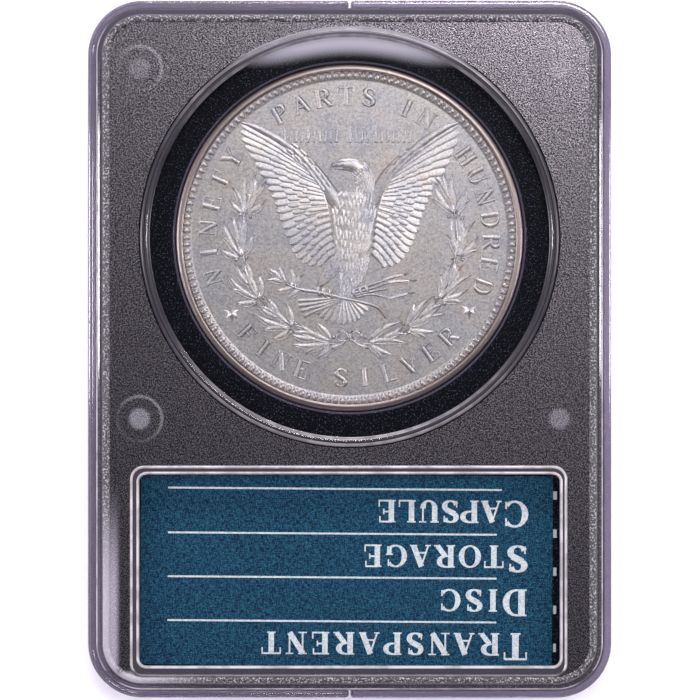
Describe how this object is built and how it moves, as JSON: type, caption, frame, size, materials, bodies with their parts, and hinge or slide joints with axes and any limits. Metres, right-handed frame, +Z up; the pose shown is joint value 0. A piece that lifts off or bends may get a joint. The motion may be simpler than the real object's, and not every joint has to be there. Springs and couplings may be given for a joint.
{
  "type": "coin slab",
  "caption": "Sealed clear plastic coin slab: pinned half shells round a black core that holds a silver coin and paper labels.",
  "frame": {"origin": "middle of the slab's underside, which is the top of the front half's raised ring, frame and bead", "axes": "+Z up out of the rear half, through both coin windows; +Y along the slab's height from the label towards the coin; +X across the slab"},
  "size_m": [0.0572, 0.0762, 0.0064],
  "materials": {
    "clear_shell": "clear polystyrene, polished windows and rim, fine frosted field",
    "black_core": "black sheet plastic, fine satin",
    "silver_coin": "struck silver alloy, frosty with light toning",
    "blue_label_paper": "printed laid paper",
    "pale_label_paper": "printed laid paper"
  },
  "bodies": {
    "slab": {"rear_shell": "clear_shell", "front_shell": "clear_shell", "core_insert": "black_core", "rear_label": "blue_label_paper", "front_label": "pale_label_paper"},
    "coin": {"coin": "silver_coin"}
  },
  "joints": [
    {"name": "coin_spin", "type": "hinge", "parent": "slab", "child": "coin", "pos_m": [0, 0.0122, 0.0032], "axis": [0, 0, 1], "continuous": true}
  ]
}
